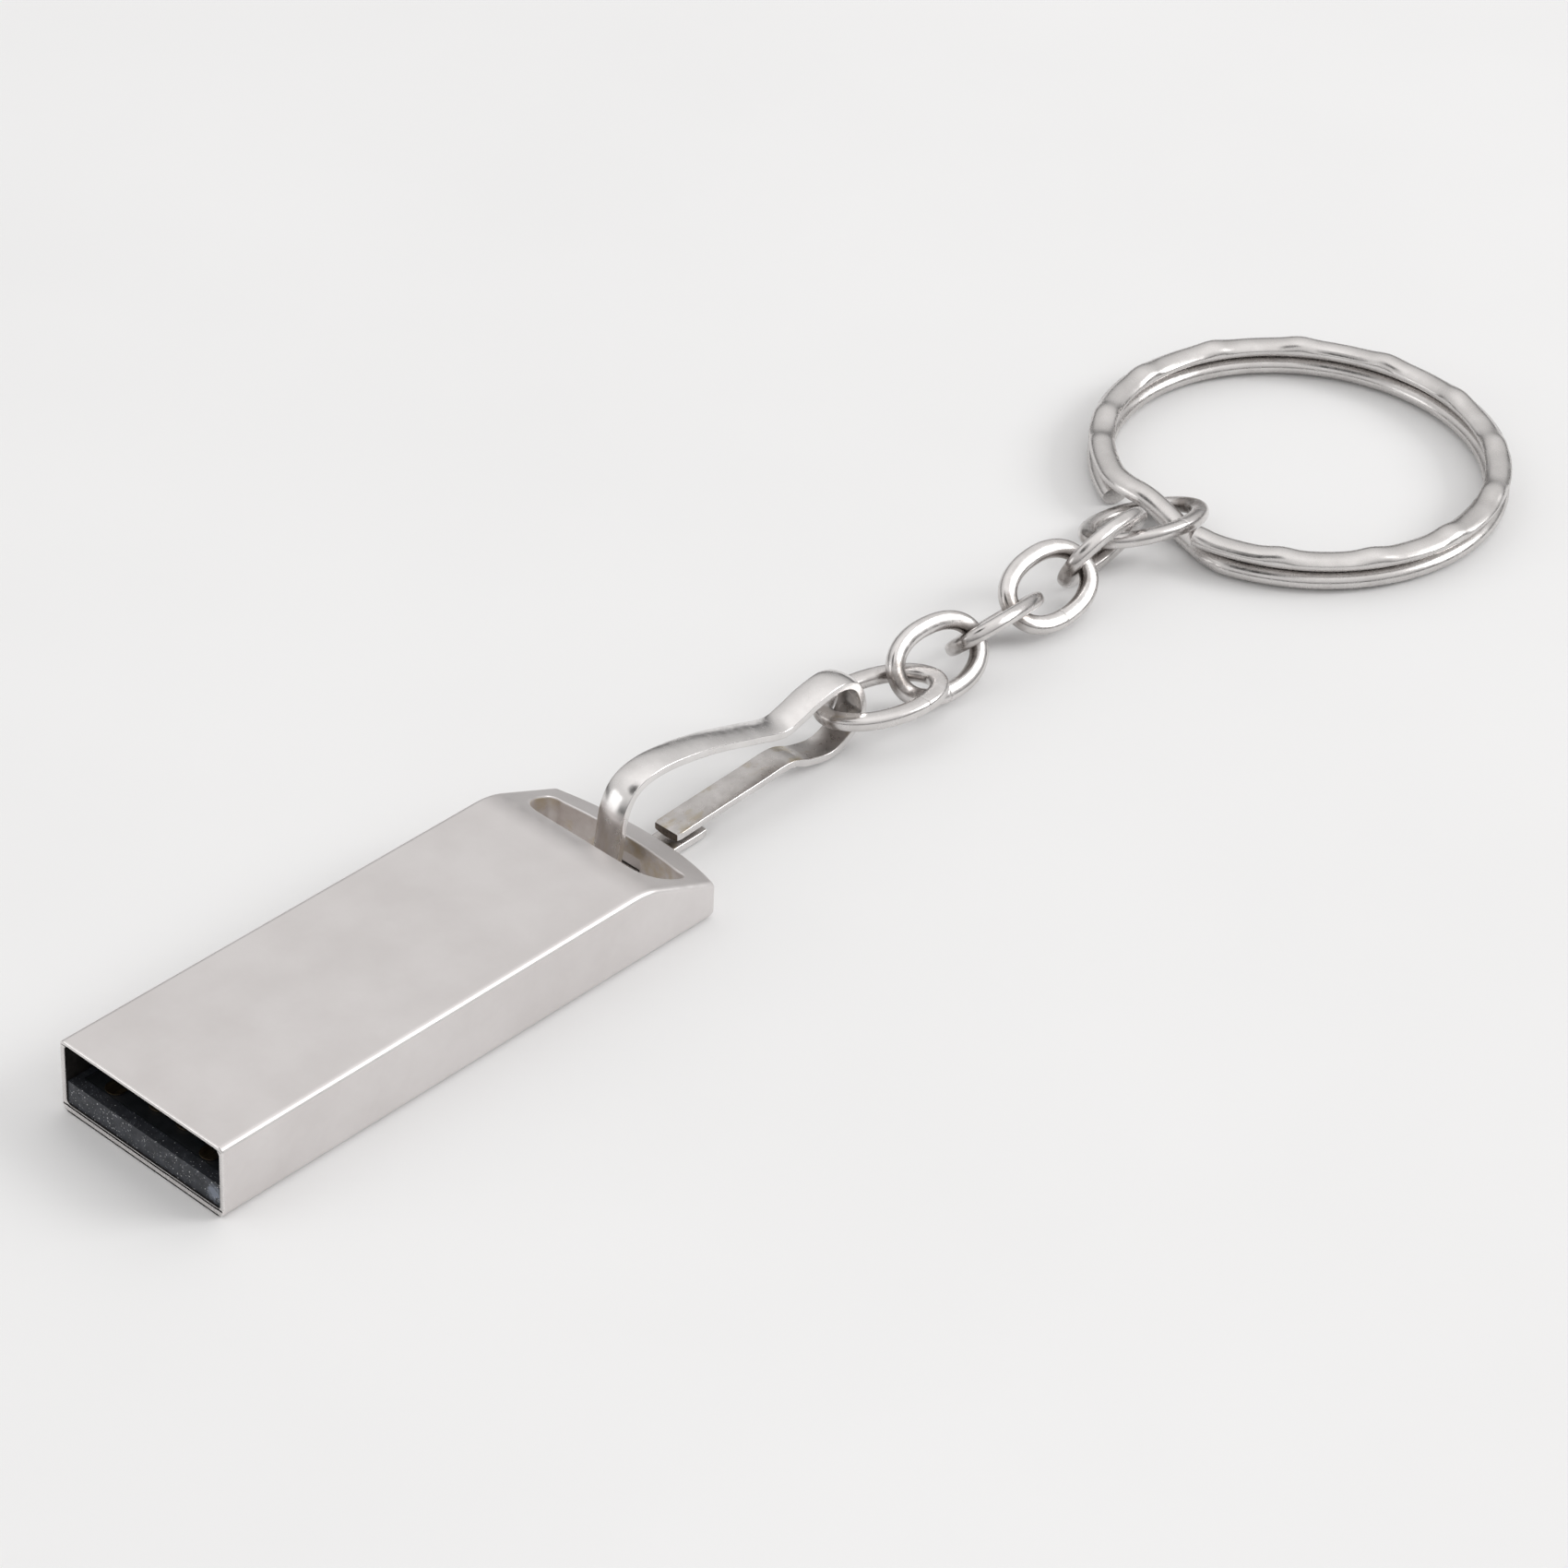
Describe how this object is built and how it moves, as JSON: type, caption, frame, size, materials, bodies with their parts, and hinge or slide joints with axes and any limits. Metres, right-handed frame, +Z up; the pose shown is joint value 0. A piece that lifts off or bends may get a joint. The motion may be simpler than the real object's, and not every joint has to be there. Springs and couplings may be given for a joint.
{
  "type": "usb flash drive",
  "caption": "Slim metal USB flash drive with an open plug mouth, a sprung strip hook on a bar, a chain of oval links and a split key ring",
  "frame": {"origin": "on the flat underside of the housing, at the middle of its length and width", "axes": "+Y from the plug's mouth to the ring, +Z up from the underside, +X to the right looking along +Y"},
  "size_m": [0.0254, 0.1045, 0.0067],
  "materials": {
    "housing_metal": "satin pearl-nickel plated zinc casting, fine frosted grain",
    "plated_steel": "bright nickel plating with slight tarnish in the corners",
    "tray_plastic": "moulded, slightly dusty",
    "board_laminate": "solder-masked laminate",
    "contact_gold": "thin gold plating, satin",
    "mould_epoxy": "matt moulding compound",
    "silicon": "polished",
    "capacitor_ceramic": "fired ceramic",
    "resistor_black": "matt coat"
  },
  "bodies": {
    "housing": {"housing": "housing_metal", "carrier_tray": "tray_plastic", "module_substrate": "board_laminate", "contact_gnd": "contact_gold", "contact_d_plus": "contact_gold", "contact_d_minus": "contact_gold", "contact_vbus": "contact_gold", "mould_compound": "mould_epoxy", "nand_die_upper": "silicon", "nand_die_lower": "silicon", "controller_die": "silicon", "capacitor_1": "capacitor_ceramic", "capacitor_2": "capacitor_ceramic", "capacitor_3": "capacitor_ceramic", "resistor_1": "resistor_black", "resistor_2": "resistor_black"},
    "hook": {"hook_body": "plated_steel"},
    "hook_gate": {"hook_gate": "plated_steel"},
    "chain_link_1": {"chain_link_1": "plated_steel"},
    "chain_link_2": {"chain_link_2": "plated_steel"},
    "chain_link_3": {"chain_link_3": "plated_steel"},
    "chain_link_4": {"chain_link_4": "plated_steel"},
    "chain_link_5": {"chain_link_5": "plated_steel"},
    "chain_link_6": {"chain_link_6": "plated_steel"},
    "split_ring": {"split_ring": "plated_steel"}
  },
  "joints": [
    {"name": "hook_swing", "type": "hinge", "parent": "housing", "child": "hook", "pos_m": [0, 0.0173, 0.00165], "axis": [1, 0, 0], "range_deg": [-80, 35]},
    {"name": "gate_flex", "type": "hinge", "parent": "hook", "child": "hook_gate", "pos_m": [0, 0.02845, 0.00146], "axis": [-1, 0, 0], "range_deg": [0, 12], "stiffness_Nm_per_rad": 0.01},
    {"name": "link_1_swing", "type": "hinge", "parent": "hook", "child": "chain_link_1", "pos_m": [0, 0.0342, 0.0024], "axis": [1, 0, 0], "range_deg": [-35, 6]},
    {"name": "link_2_swing", "type": "hinge", "parent": "chain_link_1", "child": "chain_link_2", "pos_m": [0.00152, 0.03956, 0.00222], "axis": [0.9581, -0.2844, 0.0349], "range_deg": [-25, 4]},
    {"name": "link_3_swing", "type": "hinge", "parent": "chain_link_2", "child": "chain_link_3", "pos_m": [0.00052, 0.04414, 0.00227], "axis": [0.5867, -0.0507, -0.8082], "range_deg": [-25, 25]},
    {"name": "link_4_swing", "type": "hinge", "parent": "chain_link_3", "child": "chain_link_4", "pos_m": [-0.00023, 0.0493, 0.00182], "axis": [0.6898, 0.1777, 0.7018], "range_deg": [-25, 25]},
    {"name": "link_5_swing", "type": "hinge", "parent": "chain_link_4", "child": "chain_link_5", "pos_m": [-0.00045, 0.05453, 0.00228], "axis": [0.7842, 0.0818, -0.6151], "range_deg": [-25, 25]},
    {"name": "link_6_swing", "type": "hinge", "parent": "chain_link_5", "child": "chain_link_6", "pos_m": [-0.00081, 0.05967, 0.00223], "axis": [0.4031, 0.0593, 0.9132], "range_deg": [-25, 4]},
    {"name": "ring_swing", "type": "hinge", "parent": "chain_link_6", "child": "split_ring", "pos_m": [-0.00143, 0.06333, 0.00122], "axis": [0.8982, 0.0788, -0.4324], "range_deg": [-5, 25]}
  ]
}
